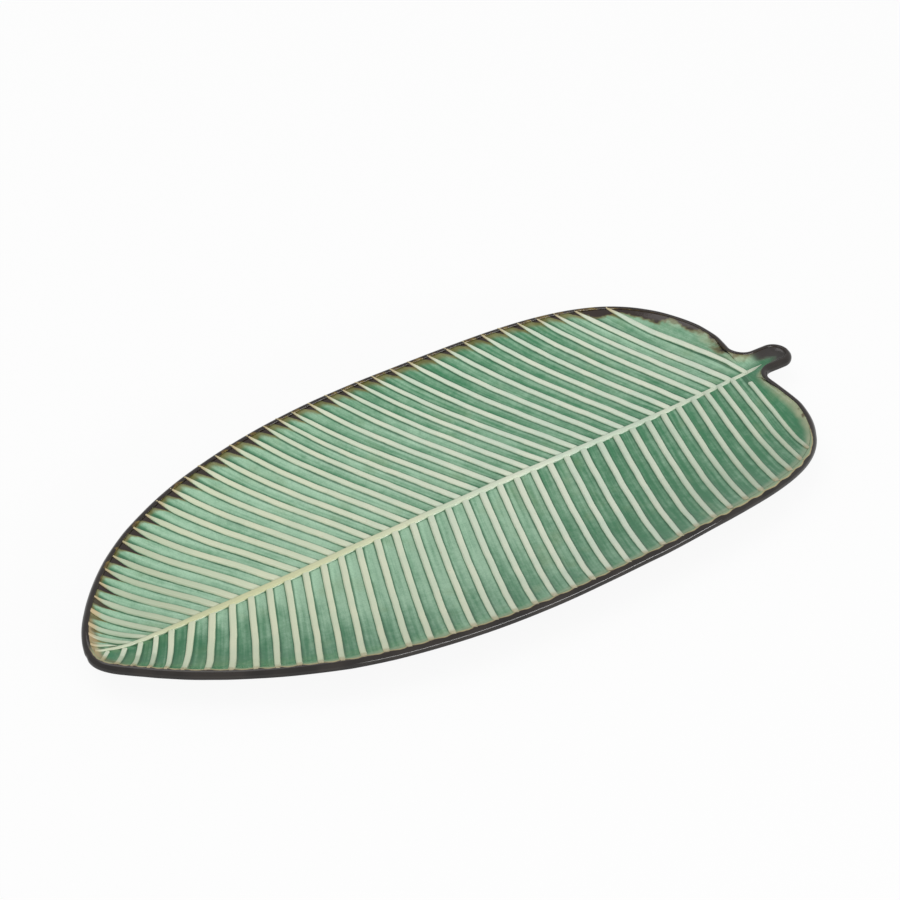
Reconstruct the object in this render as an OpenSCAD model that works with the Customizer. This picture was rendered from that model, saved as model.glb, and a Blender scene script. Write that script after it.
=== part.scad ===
// A shallow serving plate in the shape of a leaf, with a raised midrib, raised side veins,
// a rolled rim that runs round the blade and the stem, and a foot ring below.
// X runs along the leaf from its tip to its stem, Y across it, Z up from the table.
// The origin is under the middle of the leaf, where the foot ring stands.

/* [Leaf outline] */
// Length from the tip of the leaf to the end of its stem
leaf_l = 400; // [340:5:480]
// Width across the blade where it is widest
leaf_w = 186; // [150:2:230]
// Length of the stem behind the blade
stem_l = 25; // [23:1:40]
// Width of the stem
stem_w = 18; // [16:0.5:24]
// Radius of the notch between the blade and the stem
notch_r = 7; // [4:0.5:9]

/* [Dish] */
// Height of the rim at the sides of the blade
rim_h = 20.5; // [17:0.5:32]
// How far the rim comes down toward the tip
tip_drop = 3.2; // [0:0.2:5]
// How far the rim comes down toward the stem
stem_drop = 6.8; // [2:0.2:8]
// Depth of the dish below the rim at the tip
tip_depth = 8; // [4:0.5:9]
// Depth of the hollow in the stem
stem_depth = 1; // [0.6:0.1:2.4]
// Length over which the dish curls up at the tip
tip_curl = 22; // [12:1:40]

/* [Wall] */
// Thickness of the floor
floor_t = 3.9; // [3:0.1:5]
// Width of the rolled lip
lip_w = 3.4; // [2.4:0.2:4.2]
// Height of the lip at its inner side
lip_t = 3.9; // [3:0.1:5]
// How far the lip stands above the dish
lip_rise = 0.8; // [0.3:0.1:1.4]

/* [Veins] */
// Number of side veins on each half
vein_count = 38; // [26:1:42]
// Width of a side vein at the midrib
vein_w = 4; // [2.4:0.2:4.8]
// Height of a side vein above the dish
vein_h = 1.1; // [0.5:0.1:1.4]
// Depth of the hollow between two veins
panel_dip = 0.4; // [0:0.1:0.8]
// Width of the midrib
midrib_w = 4.6; // [3:0.2:7]
// Height of the midrib above the dish
midrib_h = 1.3; // [0.8:0.1:2]
// How far the midrib sways from the middle line
midrib_sway = 3; // [0:0.5:5]
// How far the left veins bow toward the stem
left_bow = 3; // [0:0.5:6]
// How far the right veins bow toward the stem
right_bow = 0.5; // [0:0.5:6]

/* [Foot] */
// Height of the foot ring
foot_h = 1.9; // [1.2:0.1:4]
// Width of the foot ring
foot_w = 5; // [3:0.5:9]

/* [Hidden] */

glaze_green = [0.45, 0.66, 0.54];
glaze_cream = [0.84, 0.86, 0.72];
glaze_brown = [0.25, 0.21, 0.18];
bare_clay = [0.76, 0.66, 0.53];

// The outline of one half: two curves that meet at the widest place, as shares of the
// blade's length and half width.
widest_share = 0.55;
tip_pull_share = 0.26;
front_pull_share = 0.70;
back_pull_share = 0.74;
shoulder_pull_share = 0.77;

// Reach of the raised ends, as a share of the leaf's length
end_blend_share = 0.18;
// Flat base and foot ring, as shares of the blade's outline
base_share = 0.56;
foot_share = 0.5;
// Rings of the underside between the lip and the base, as shares of the blade's outline
under_share = [0.95, 0.86, 0.7];

// Places across a half blade where the surface has points, from midrib to lip
row_share = [0, 0.25, 0.5, 0.72, 0.88, 1];
dip_share = [0, 0.8, 1, 1, 0.7, 0];
vein_height_share = [1, 1, 0.95, 0.85, 0.65, 0.35];
vein_narrow_share = 0.2;
vein_crest_share = 0.24;
vein_join_share = 0.8;
midrib_crest_share = 0.56;
midrib_narrow_share = 0.35;
midrib_end_share = 0.3;
// The sway of the midrib along the leaf: places as shares of its length, then shares of
// midrib_sway, positive to the left
sway_share = [[0, 0], [0.06, -0.55], [0.18, -0.2], [0.38, 0.4], [0.55, 0.5], [0.7, 0],
    [0.85, -0.7], [0.94, -1], [1, -0.1]];

// Where the veins start on the midrib: places among the veins, from 0 at the first one to 1
// at the last, then distances from the tip as shares of the way to the blade's back
left_root_share = [[-0.03, 0.01], [0, 0.031], [0.081, 0.093], [0.189, 0.201], [0.243, 0.261],
    [0.405, 0.423], [0.568, 0.588], [0.649, 0.667], [0.973, 0.967], [1, 0.989], [1.03, 1.01]];
right_root_share = [[-0.03, 0.021], [0, 0.044], [0.081, 0.106], [0.162, 0.19], [0.351, 0.374],
    [0.568, 0.591], [0.784, 0.802], [0.892, 0.904], [0.973, 0.97], [1, 0.989], [1.03, 1.01]];
// Where they end at the lip: places among the veins, then distances from the tip along the
// rim as shares of its length
left_end_share = [[-0.03, 0.001], [0, 0.009], [0.054, 0.038], [0.189, 0.139], [0.405, 0.319],
    [0.486, 0.388], [0.541, 0.427], [0.595, 0.473], [0.676, 0.533], [0.946, 0.773],
    [0.973, 0.805], [1, 0.848], [1.03, 0.896]];
right_end_share = [[-0.03, 0.018], [0, 0.036], [0.108, 0.103], [0.189, 0.174], [0.324, 0.278],
    [0.541, 0.461], [0.784, 0.664], [0.892, 0.757], [1, 0.859], [1.03, 0.887]];
// The veins bow less and less toward the tip from this place on
bow_fade_share = 0.21;
// Room before the first vein and behind the last one, in veins
end_room = 0.25;
shoulder_steps = 7;

// Section of the lip: places inward from the rim as shares of lip_w, and heights below
// the crown as shares of the lip's full height
lip_in_share = [0.72, 0.4, 0.08, 0, 0.34];
lip_down_share = [0.06, 0, 0.26, 0.62, 0.97];

blade_l = leaf_l - stem_l;
half_w = leaf_w / 2;
stem_r = stem_w / 2;
back_x = blade_l - lip_w;
mid_x = blade_l / 2;
floor_z = foot_h + floor_t;
dish_depth = rim_h - floor_z;
curve_steps = 60;
arc_steps = 5;
foot_steps = 40;
midrib_fade = 14;
rows = len(row_share) - 1;

function mix(a, b, t) = a + (b - a) * t;
function bezier(p, t) =
    pow(1 - t, 3) * p[0] + 3 * t * pow(1 - t, 2) * p[1]
    + 3 * t * t * (1 - t) * p[2] + pow(t, 3) * p[3];
function bezier_slope(p, t) =
    pow(1 - t, 2) * (p[1] - p[0]) + 2 * t * (1 - t) * (p[2] - p[1]) + t * t * (p[3] - p[2]);

// The half outline as points, directions and the distance walked from the tip
widest = [widest_share * blade_l, half_w];
notch_start = [blade_l, stem_r + notch_r];
front_curve = [[0, 0], [0, tip_pull_share * half_w],
    [(1 - front_pull_share) * widest.x, half_w], widest];
back_curve = [widest, [mix(widest.x, blade_l, back_pull_share), half_w],
    [blade_l, notch_start.y + shoulder_pull_share * half_w], notch_start];
outline_points = concat([for (i = [0:curve_steps]) bezier(front_curve, i / curve_steps)],
    [for (i = [1:curve_steps]) bezier(back_curve, i / curve_steps)]);
outline_slopes = concat([for (i = [0:curve_steps]) bezier_slope(front_curve, i / curve_steps)],
    [for (i = [1:curve_steps]) bezier_slope(back_curve, i / curve_steps)]);
outline_last = len(outline_points) - 1;
function step_length(i) = i > outline_last ? 0 : norm(outline_points[i] - outline_points[i - 1]);
outline_walk = [for (i = 0, s = 0; i <= outline_last; i = i + 1, s = s + step_length(i)) s];
rim_length = outline_walk[outline_last];

function table(list, axis) = [for (i = [0:outline_last]) [outline_walk[i], list[i][axis]]];
walk_to_x = table(outline_points, 0);
walk_to_y = table(outline_points, 1);
walk_to_slope_x = table(outline_slopes, 0);
walk_to_slope_y = table(outline_slopes, 1);

// A point of the half outline at distance a along it, and the direction that faces outward
function rim_point(a) = [lookup(a, walk_to_x), lookup(a, walk_to_y)];
function rim_normal(a) =
    let (d = [lookup(a, walk_to_slope_x), lookup(a, walk_to_slope_y)]) [-d.y, d.x] / norm(d);
function inset_point(a, by) = rim_point(a) - by * rim_normal(a);

// Half width of the dish inside the lip, by distance from the tip
dish_half = [for (i = [0:outline_last]) inset_point(outline_walk[i], lip_w)];

// Heights
function near_tip(x) = exp(-pow(x / (end_blend_share * leaf_l), 2));
function near_stem(x) = exp(-pow((leaf_l - x) / (end_blend_share * leaf_l), 2));
function crown_z(x) = rim_h - tip_drop * near_tip(x) - stem_drop * near_stem(x);
function edge_z(x) = crown_z(x) - lip_rise;
function hollow_z(x) =
    crown_z(x) - dish_depth + (dish_depth - tip_depth) * near_tip(x)
    + (dish_depth - lip_rise - stem_depth) * near_stem(x);
function curl(x) = max(0, 1 - (x - lip_w) / tip_curl);
function stem_curl(x) = max(0, 1 - (leaf_l - lip_w - x) / (stem_r - lip_w));
function dish_z(x, u) =
    let (reach = min(1, norm([u, curl(x), stem_curl(x)])))
    mix(hollow_z(x), edge_z(x), pow(reach, 3));
function blade_u(x, y) = min(1, abs(y) / max(lip_w, lookup(x, dish_half)));
function blade_z(x, y) = dish_z(x, blade_u(x, y));
function sway(x, u) = midrib_sway * lookup(x / leaf_l, sway_share) * (1 - u * u);

// Places of the veins. k counts veins from the tip and may lie between two veins.
// way is 1 for the left half and -1 for the right one.
function share_of(k) = k / (vein_count - 1);
function root_x(k, way) =
    back_x * lookup(share_of(k), way > 0 ? left_root_share : right_root_share);
function end_a(k, way) =
    rim_length * lookup(share_of(k), way > 0 ? left_end_share : right_end_share);
root_pitch = (root_x(vein_count - 1, 1) - root_x(0, 1)) / (vein_count - 1);
function vein_half(v) = vein_w / 2 / root_pitch * (1 - vein_narrow_share * v);
front_k = -end_room;
back_k = vein_count - 1 + end_room;

// The stations of the blade, from the tip to its back: one ahead of the veins, three for
// each vein (its two flanks and the middle of the panel behind it), and the shoulder.
// Each is [kind, k or share, side of the vein, 1 in a panel's middle].
stations = concat([["tip", 0.5, 0, 0]],
    [for (k = [0:vein_count - 1]) for (side = [-1, 1, 0])
        if (side != 0 || k < vein_count - 1)
            ["vein", side == 0 ? k + 0.5 : k, side, side == 0 ? 1 : 0]],
    [for (i = [0:shoulder_steps]) ["shoulder", i / shoulder_steps, 0, 0]]);
last_station = len(stations) - 1;
function station_root(s, v, way) =
    s[0] == "tip" ? mix(lip_w, root_x(front_k, way), s[1])
    : s[0] == "vein" ? root_x(s[1] + s[2] * vein_half(v), way)
    : mix(root_x(back_k, way), back_x, s[1]);
function station_end(s, v, way) =
    s[0] == "tip" ? mix(0, end_a(front_k, way), s[1])
    : s[0] == "vein" ? end_a(s[1] + s[2] * vein_half(v), way)
    : mix(end_a(back_k, way), rim_length, s[1]);
function midrib_half(x) = midrib_w / 2 * (1 - midrib_narrow_share * x / leaf_l);

// A point of the dish at station s and row i, on one half
function bow_of(way) = way > 0 ? left_bow : right_bow;
function bow_fade(s) = s[0] == "vein" ? min(1, share_of(s[1]) / bow_fade_share) : 0;
function plan_point(s, i, way) =
    let (v = row_share[i],
        root = [station_root(s, v, way), midrib_half(station_root(s, 0, way))],
        end = inset_point(station_end(s, v, way), lip_w),
        p = mix(root, end, v))
    [p.x + bow_of(way) * bow_fade(s) * sin(180 * v), way * p.y];
function dish_point(s, i, way) =
    let (p = plan_point(s, i, way),
        u = i == rows ? 1 : blade_u(p.x, p.y))
    [p.x, p.y + sway(p.x, u), dish_z(p.x, u) - panel_dip * s[3] * dip_share[i]];
function under_z(x, y) = max(foot_h, blade_z(x, y) - floor_t);

function flat(list) = [for (part = list) for (item = part) item];
// Two triangles for the quad a, b, c, d
function quad(a, b, c, d) = [[a, b, c], [a, c, d]];
// Faces between ring n and ring n + 1 of closed rings with count points each
function band(first, second, count) =
    flat([for (i = [0:count - 1])
        let (j = (i + 1) % count) quad(first + i, second + i, second + j, first + j)]);

module centred() {
    translate([-leaf_l / 2, 0, 0]) children();
}

// The dished blade. Its upper side has a line of points along each flank of each vein,
// so the veins sit on it face to face.
module leaf_body() {
    across = 2 * (rows + 1);
    grid = [for (s = stations) concat(
        [for (i = [rows:-1:0]) dish_point(s, i, -1)],
        [for (i = [0:rows]) dish_point(s, i, 1)])];
    apex = [lip_w, 0, edge_z(lip_w)];
    back_row = grid[last_station];
    back_low = edge_z(back_x) - lip_t;
    loop = concat(
        [for (j = [last_station:-1:0]) let (p = grid[j][0]) [p.x, p.y, edge_z(p.x) - lip_t]],
        [apex - [0, 0, lip_t]],
        [for (j = [0:last_station])
            let (p = grid[j][across - 1]) [p.x, p.y, edge_z(p.x) - lip_t]],
        [for (i = [across - 2:-1:1]) [back_x, back_row[i].y, back_low]]);
    rings = [for (f = under_share) [for (p = loop)
        let (x = mix(mid_x, p.x, f), y = p.y * f) [x, y, under_z(x, y)]]];
    base = [for (p = loop) [mix(mid_x, p.x, base_share), p.y * base_share, foot_h]];
    points = concat(flat(grid), [apex], loop, flat(rings), base);
    n = len(loop);
    at_apex = across * (last_station + 1);
    at_loop = at_apex + 1;
    at_left = at_loop + last_station + 2;
    at_base = at_loop + n * (len(rings) + 1);
    upper = flat([for (j = [0:last_station - 1]) flat([for (i = [0:across - 2])
        let (a = j * across + i) quad(a, a + 1, a + across + 1, a + across)])]);
    tip = [for (i = [0:across - 2]) [at_apex, i + 1, i]];
    right_edge = flat([for (j = [0:last_station - 1])
        let (low = at_loop + last_station - j)
        quad(j * across, (j + 1) * across, low - 1, low)]);
    left_edge = flat([for (j = [0:last_station - 1])
        let (top = j * across + across - 1, low = at_left + j)
        quad(top, low, low + 1, top + across)]);
    tip_edge = concat(quad(at_apex, 0, at_left - 2, at_left - 1),
        quad(at_apex, at_left - 1, at_left, across - 1));
    at_back = across * last_station;
    low_back = concat([at_loop], [for (i = [1:across - 2]) at_loop + n - i],
        [at_left + last_station]);
    back = flat([for (i = [0:across - 2])
        quad(at_back + i, at_back + i + 1, low_back[i + 1], low_back[i])]);
    below = flat([for (r = [0:len(rings)]) band(at_loop + r * n, at_loop + (r + 1) * n, n)]);
    bottom = [[for (i = [n:-1:1]) at_base + (last_station + 1 + i) % n]];
    color(glaze_green) centred()
        polyhedron(points, concat(upper, tip, right_edge, left_edge, tip_edge, back, below,
            bottom), 4);
}

// The left half of the lip's path, from the tip to the end of the stem, as
// [point, outward direction]: blade, notch, side of the stem, round end
function lip_path(way) = concat(
    [for (s = stations) let (a = station_end(s, 1, way)) [rim_point(a), rim_normal(a)]],
    [for (i = [1:arc_steps]) let (t = 180 + 90 * i / arc_steps, d = [cos(t), sin(t)])
        [[blade_l + notch_r, stem_r + notch_r] + notch_r * d, -d]],
    [for (i = [0:arc_steps - 1]) let (t = 90 - 90 * i / arc_steps, d = [cos(t), sin(t)])
        [[leaf_l - stem_r, 0] + stem_r * d, d]]);
function lip_section(step) =
    let (p = step[0], d = step[1], inner = p - lip_w * d,
        top = edge_z(inner.x), crown = crown_z(inner.x), deep = lip_t + lip_rise)
    concat([[inner.x, inner.y, top]],
        [for (i = [0:len(lip_in_share) - 1])
            let (q = p - lip_in_share[i] * lip_w * d) [q.x, q.y, crown - lip_down_share[i] * deep]],
        [[inner.x, inner.y, top - lip_t]]);
function mirrored(step) = [[step[0].x, -step[0].y], [step[1].x, -step[1].y]];

// The rolled lip, one closed loop round the blade and the stem
module rim_lip() {
    left = lip_path(1);
    right = lip_path(-1);
    path = concat([[[0, 0], [-1, 0]]], left, [[[leaf_l, 0], [1, 0]]],
        [for (i = [len(right) - 1:-1:0]) mirrored(right[i])]);
    side = len(lip_in_share) + 2;
    n = len(path);
    faces = flat([for (j = [0:n - 1]) flat([for (i = [0:side - 1])
        let (k = (j + 1) % n, m = (i + 1) % side)
        quad(j * side + i, j * side + m, k * side + m, k * side + i)])]);
    color(glaze_brown) centred() polyhedron([for (s = path) for (p = lip_section(s)) p], faces, 4);
}

// The hollow tongue of the stem, inside the lip
module stem() {
    cross_share = [-1, -0.6, 0, 0.6, 1];
    inner_r = stem_r - lip_w;
    flare_r = notch_r + lip_w;
    sides = concat(
        [for (i = [0:arc_steps]) let (t = 180 + 90 * i / arc_steps)
            [blade_l + notch_r + flare_r * cos(t), stem_r + notch_r + flare_r * sin(t)]],
        [for (i = [0:arc_steps - 1]) let (t = 90 - 90 * i / arc_steps)
            [leaf_l - stem_r + inner_r * cos(t), inner_r * sin(t)]]);
    n = len(cross_share);
    count = len(sides);
    tops = [for (s = sides) for (f = cross_share)
        [s.x, s.y * f + sway(s.x, f), dish_z(s.x, abs(f))]];
    lows = [for (p = tops) [p.x, p.y, edge_z(p.x) - lip_t]];
    end = [leaf_l - lip_w, 0, edge_z(leaf_l - lip_w)];
    low = n * count;
    at_end = 2 * low;
    spans = [for (j = [0:count - 2]) for (i = [0:n - 2]) j * n + i];
    upper = flat([for (a = spans) quad(a, a + 1, a + n + 1, a + n)]);
    lower = flat([for (a = spans) quad(low + a, low + a + n, low + a + n + 1, low + a + 1)]);
    right = flat([for (j = [0:count - 2]) quad(j * n, (j + 1) * n, low + (j + 1) * n, low + j * n)]);
    left = flat([for (j = [0:count - 2]) let (a = j * n + n - 1)
        quad(a, low + a, low + a + n, a + n)]);
    front = flat([for (i = [0:n - 2]) quad(i, low + i, low + i + 1, i + 1)]);
    z = (count - 1) * n;
    round_end = concat([for (i = [0:n - 2]) [z + i, z + i + 1, at_end]],
        [for (i = [0:n - 2]) [low + z + i + 1, low + z + i, at_end + 1]],
        quad(z, at_end, at_end + 1, low + z),
        quad(z + n - 1, low + z + n - 1, at_end + 1, at_end));
    color(glaze_green) centred()
        polyhedron(concat(tops, lows, [end, end - [0, 0, lip_t]]),
            concat(upper, lower, right, left, front, round_end), 4);
}

// Height of the midrib, which fades in at the tip and out at the stem
function midrib_rise(x) =
    midrib_h * min(1, (x - lip_w) / midrib_fade)
    * mix(midrib_end_share, 1, min(1, (back_x - x) / midrib_fade));
function midrib_lean(x) = [0, -midrib_half(x) * (1 - midrib_crest_share), midrib_rise(x)];

// The midrib, a low ridge on the flat strip between the two halves of the dish
module midrib() {
    section = [for (s = stations)
        let (a = dish_point(s, 0, -1), b = dish_point(s, 0, 1), lean = midrib_lean(a.x))
        [a, b, b + lean, a + [lean.x, -lean.y, lean.z]]];
    n = last_station;
    walls = flat([for (j = [0:n - 1]) flat([for (i = [0:3])
        quad(4 * j + i, 4 * j + 4 + i, 4 * j + 4 + (i + 1) % 4, 4 * j + (i + 1) % 4)])]);
    color(glaze_cream) centred()
        polyhedron(flat(section), concat(walls, quad(0, 1, 2, 3),
            quad(4 * n + 3, 4 * n + 2, 4 * n + 1, 4 * n)), 4);
}

// One side vein: it starts on the midrib's flank, narrows and sinks toward the lip
function vein_section(k, i, way) =
    let (front = ["vein", k, -1, 0], behind = ["vein", k, 1, 0],
        a = dish_point(front, i, way), b = dish_point(behind, i, way),
        lean = midrib_lean(a.x) * vein_join_share,
        up = i == 0 ? [0, way * lean.y, lean.z] : [0, 0, vein_h * vein_height_share[i]])
    [a, b, mix(b, a, vein_crest_share) + up, mix(a, b, vein_crest_share) + up];
function vein_faces(first, way) =
    let (n = rows,
        walls = flat([for (i = [0:n - 1]) flat([for (m = [0:3])
            let (a = first + 4 * i)
            quad(a + m, a + 4 + m, a + 4 + (m + 1) % 4, a + (m + 1) % 4)])]),
        ends = concat(quad(first, first + 1, first + 2, first + 3),
            quad(first + 4 * n + 3, first + 4 * n + 2, first + 4 * n + 1, first + 4 * n)),
        all = concat(walls, ends))
    way < 0 ? all : [for (f = all) [f[2], f[1], f[0]]];
module veins(way) {
    points = [for (k = [0:vein_count - 1]) for (i = [0:rows]) for (p = vein_section(k, i, way)) p];
    faces = flat([for (k = [0:vein_count - 1]) vein_faces(4 * (rows + 1) * k, way)]);
    color(glaze_cream) centred() polyhedron(points, faces, 4);
}
module veins_left() {
    veins(1);
}
module veins_right() {
    veins(-1);
}

// The foot ring follows the blade's outline under the flat base
function foot_outline(by) =
    let (half = [for (i = [0:foot_steps])
        let (a = rim_length * i / foot_steps,
            p = inset_point(a, lip_w))
        [mix(mid_x, p.x, foot_share), p.y * foot_share] - by * rim_normal(a)])
    concat(half, [for (i = [foot_steps:-1:1]) [half[i].x, -half[i].y]]);
module foot_ring() {
    color(bare_clay) centred() linear_extrude(foot_h) difference() {
        polygon(foot_outline(0));
        polygon(foot_outline(foot_w));
    }
}

leaf_body();
rim_lip();
stem();
midrib();
veins_left();
veins_right();
foot_ring();
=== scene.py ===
import math

import bmesh
import bpy
import numpy as np
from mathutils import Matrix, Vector, kdtree


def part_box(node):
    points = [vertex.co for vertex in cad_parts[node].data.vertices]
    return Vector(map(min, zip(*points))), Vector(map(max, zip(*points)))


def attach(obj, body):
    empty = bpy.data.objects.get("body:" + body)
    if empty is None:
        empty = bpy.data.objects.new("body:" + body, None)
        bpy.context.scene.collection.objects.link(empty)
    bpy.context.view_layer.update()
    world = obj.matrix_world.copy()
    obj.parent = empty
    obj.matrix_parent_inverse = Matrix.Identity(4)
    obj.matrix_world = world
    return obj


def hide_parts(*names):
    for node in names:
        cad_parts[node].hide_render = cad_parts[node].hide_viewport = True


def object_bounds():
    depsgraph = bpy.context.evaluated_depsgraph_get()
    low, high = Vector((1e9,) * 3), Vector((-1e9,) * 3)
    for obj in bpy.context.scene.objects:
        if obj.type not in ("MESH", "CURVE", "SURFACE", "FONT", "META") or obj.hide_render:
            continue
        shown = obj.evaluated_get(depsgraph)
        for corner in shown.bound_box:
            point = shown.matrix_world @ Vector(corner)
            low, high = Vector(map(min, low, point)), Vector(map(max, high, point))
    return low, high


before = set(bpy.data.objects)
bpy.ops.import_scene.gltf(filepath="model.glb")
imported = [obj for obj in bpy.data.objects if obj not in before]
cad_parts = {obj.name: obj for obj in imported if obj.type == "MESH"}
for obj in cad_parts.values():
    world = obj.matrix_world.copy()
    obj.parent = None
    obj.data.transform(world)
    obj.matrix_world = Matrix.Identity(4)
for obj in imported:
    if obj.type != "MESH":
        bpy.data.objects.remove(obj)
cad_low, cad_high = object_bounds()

# The leaf's own sizes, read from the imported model. X counts from the tip of the leaf in
# every rule below, and the frame's origin is under the middle of its length.
LEAF_LENGTH = cad_high.x - cad_low.x
HALF_WIDTH = (cad_high.y - cad_low.y) / 2
RIM_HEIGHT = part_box("rim_lip")[1].z
FOOT_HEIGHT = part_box("foot_ring")[1].z
LIP_WIDTH = cad_high.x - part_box("stem")[1].x
BLADE_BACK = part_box("leaf_body")[1].x - cad_low.x
BLADE_LENGTH = BLADE_BACK + LIP_WIDTH
NOTCH_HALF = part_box("stem")[1].y
STEM_SHARE = 0.5625  # how much of the spread of the two notches is the stem
STEM_RADIUS = STEM_SHARE * NOTCH_HALF
NOTCH_RADIUS = NOTCH_HALF - STEM_RADIUS
LIP_RISE = RIM_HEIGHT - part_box("leaf_body")[1].z
FLOOR_THICKNESS, LEAST_THICKNESS = 0.0039, 0.0028
LIP_HEIGHT = 0.0039
FOOT_WIDTH, FOOT_SHARE = 0.005, 0.5

# The outline: where it is widest, and how full the curves before and after that are
WIDEST_AT = 0.55
TIP_FULLNESS = (0.26, 0.30)
SHOULDER_FULLNESS = (0.74, 0.77)

# How the dish is pressed
TIP_DROP, STEM_DROP = 0.0032, 0.0068
TIP_DEPTH, STEM_DEPTH = 0.008, 0.001
TIP_CURL = 0.022
END_REACH = 0.18  # how far the drops at tip and stem are felt, as a share of the length
TIP_ZONE, STEM_ZONE = (0.2, 0.08), (0.84, 0.91)  # where slopes go by the gap to the lip
DISH_DEPTH = RIM_HEIGHT - FOOT_HEIGHT - FLOOR_THICKNESS
PANEL_DIP = 0.0005

# The veins and the midrib
VEINS = 38
LAST = VEINS - 1
VEIN_WIDTH, VEIN_HEIGHT, VEIN_NARROWING = 0.004, 0.0011, 0.2
MIDRIB_WIDTH, MIDRIB_HEIGHT, MIDRIB_NARROWING = 0.0046, 0.0013, 0.35
FAR, NEAR = 1, -1
BOW = {FAR: 0.003, NEAR: 0.0005}
BOW_FADE = 0.21
SWAY_SIZE = 0.003
SWAY_STOPS = [(0, 0), (0.06, -0.55), (0.18, -0.2), (0.38, 0.4), (0.55, 0.5), (0.7, 0),
              (0.85, -0.7), (0.94, -1), (1, -0.1)]

# Where the veins start on the midrib: places among the veins, from 0 at the first one to 1
# at the last, then distances from the tip as shares of the way to the blade's back
ROOTS = {
    FAR: [(-0.03, 0.01), (0, 0.031), (0.081, 0.093), (0.189, 0.201), (0.243, 0.261),
          (0.405, 0.423), (0.568, 0.588), (0.649, 0.667), (0.973, 0.967), (1, 0.995),
          (1.03, 1.01)],
    NEAR: [(-0.03, 0.021), (0, 0.044), (0.081, 0.106), (0.162, 0.19), (0.351, 0.374),
           (0.568, 0.591), (0.784, 0.802), (0.892, 0.904), (0.973, 0.97), (1, 0.989),
           (1.03, 1.01)],
}
# Where they end at the lip, as shares of the rim's length
ENDS = {
    FAR: [(-0.03, 0.001), (0, 0.009), (0.054, 0.038), (0.189, 0.139), (0.405, 0.319),
          (0.486, 0.388), (0.541, 0.427), (0.595, 0.473), (0.676, 0.533), (0.946, 0.773),
          (0.973, 0.798), (1, 0.838), (1.03, 0.896)],
    NEAR: [(-0.03, 0.018), (0, 0.036), (0.108, 0.103), (0.189, 0.174), (0.324, 0.278),
           (0.541, 0.461), (0.784, 0.664), (0.892, 0.757), (1, 0.859), (1.03, 0.887)],
}

# How far the veins run on under the midrib, from the first one to the last, and over the lip
UNDER_MIDRIB = {FAR: (0.0034, 0.0022), NEAR: (0.0016, 0.0016)}
NEAR_RUN, FAR_RUN = 0.0011, (0.0002, 0.0015)
# How long their points are, and how wide the blunt ones and the sharp ones still end
POINT_LENGTH, POINT_PAST = {FAR: 0.008, NEAR: 0.0015}, 0.0006
BLUNT, SHARP = 0.75, 0.22
# Their height along the way from the midrib to the lip
RISE_REACHES = [0, 0.25, 0.5, 0.72, 0.88, 1]
RISE_SHARES = [0.95, 1, 0.97, 0.9, 0.75, 0.4]


def mix(a, b, t):
    return a + (b - a) * t


def smoothstep(low, high, value):
    t = np.clip((value - low) / (high - low), 0, 1)
    return t * t * (3 - 2 * t)


def smoothed(values, width):
    """The values rounded off by a bell this many places wide."""
    bell = np.hanning(width)
    return np.convolve(np.pad(values, width // 2, mode="edge"), bell / bell.sum(), "valid")


# The outline of the leaf

def cubic(points, t):
    p = np.asarray(points, float)
    t = np.asarray(t)[:, None]
    return ((1 - t) ** 3 * p[0] + 3 * t * (1 - t) ** 2 * p[1]
            + 3 * t * t * (1 - t) * p[2] + t ** 3 * p[3])


def cubic_slope(points, t):
    p = np.asarray(points, float)
    t = np.asarray(t)[:, None]
    return ((1 - t) ** 2 * (p[1] - p[0]) + 2 * t * (1 - t) * (p[2] - p[1])
            + t * t * (p[3] - p[2]))


def half_outline():
    """Points, outward directions and walked lengths of the left half, tip to notch."""
    widest = (WIDEST_AT * BLADE_LENGTH, HALF_WIDTH)
    front = [(0, 0), (0, TIP_FULLNESS[0] * HALF_WIDTH),
             (TIP_FULLNESS[1] * widest[0], HALF_WIDTH), widest]
    back = [widest, (mix(widest[0], BLADE_LENGTH, SHOULDER_FULLNESS[0]), HALF_WIDTH),
            (BLADE_LENGTH, NOTCH_HALF + SHOULDER_FULLNESS[1] * HALF_WIDTH),
            (BLADE_LENGTH, NOTCH_HALF)]
    t = np.linspace(0, 1, 241)
    points = np.vstack([cubic(front, t), cubic(back, t)[1:]])
    slopes = np.vstack([cubic_slope(front, t), cubic_slope(back, t)[1:]])
    steps = np.hypot(*np.diff(points, axis=0).T)
    walked = np.concatenate([[0], np.cumsum(steps)])
    outward = np.stack([-slopes[:, 1], slopes[:, 0]], 1)
    return points, outward / np.hypot(*outward.T)[:, None], walked


OUTLINE, OUTWARD, WALKED = half_outline()
RIM_LENGTH = WALKED[-1]
DISH_EDGE = OUTLINE - LIP_WIDTH * OUTWARD


def inner_edge(walk):
    """Plan points of the left lip's inner line at these lengths from the tip."""
    out = np.stack([np.interp(walk, WALKED, OUTWARD[:, i]) for i in (0, 1)], -1)
    out /= np.hypot(out[..., 0], out[..., 1])[..., None]
    rim = np.stack([np.interp(walk, WALKED, OUTLINE[:, i]) for i in (0, 1)], -1)
    return rim - LIP_WIDTH * out


def turn(centre, radius, start, end, steps):
    """Plan points of an arc, angles in degrees."""
    t = np.radians(np.linspace(start, end, steps))
    return np.stack([centre[0] + radius * np.cos(t), centre[1] + radius * np.sin(t)], -1)


def inner_stem_edge(steps):
    """The left side of the notch and the stem, inside the lip."""
    corner = (BLADE_LENGTH + NOTCH_RADIUS, NOTCH_HALF)
    notch = turn(corner, NOTCH_RADIUS + LIP_WIDTH, 180, 270, steps)
    end = turn((LEAF_LENGTH - STEM_RADIUS, 0), STEM_RADIUS - LIP_WIDTH, 90, 0, steps)
    return notch, end


def lip_inner_line():
    """The whole inner line of the lip in plan, tip to stem and back."""
    left = np.vstack([inner_edge(np.linspace(0, RIM_LENGTH, 1500)), *inner_stem_edge(40)])
    return np.vstack([left, left[::-1] * [1, -1]])


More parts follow.
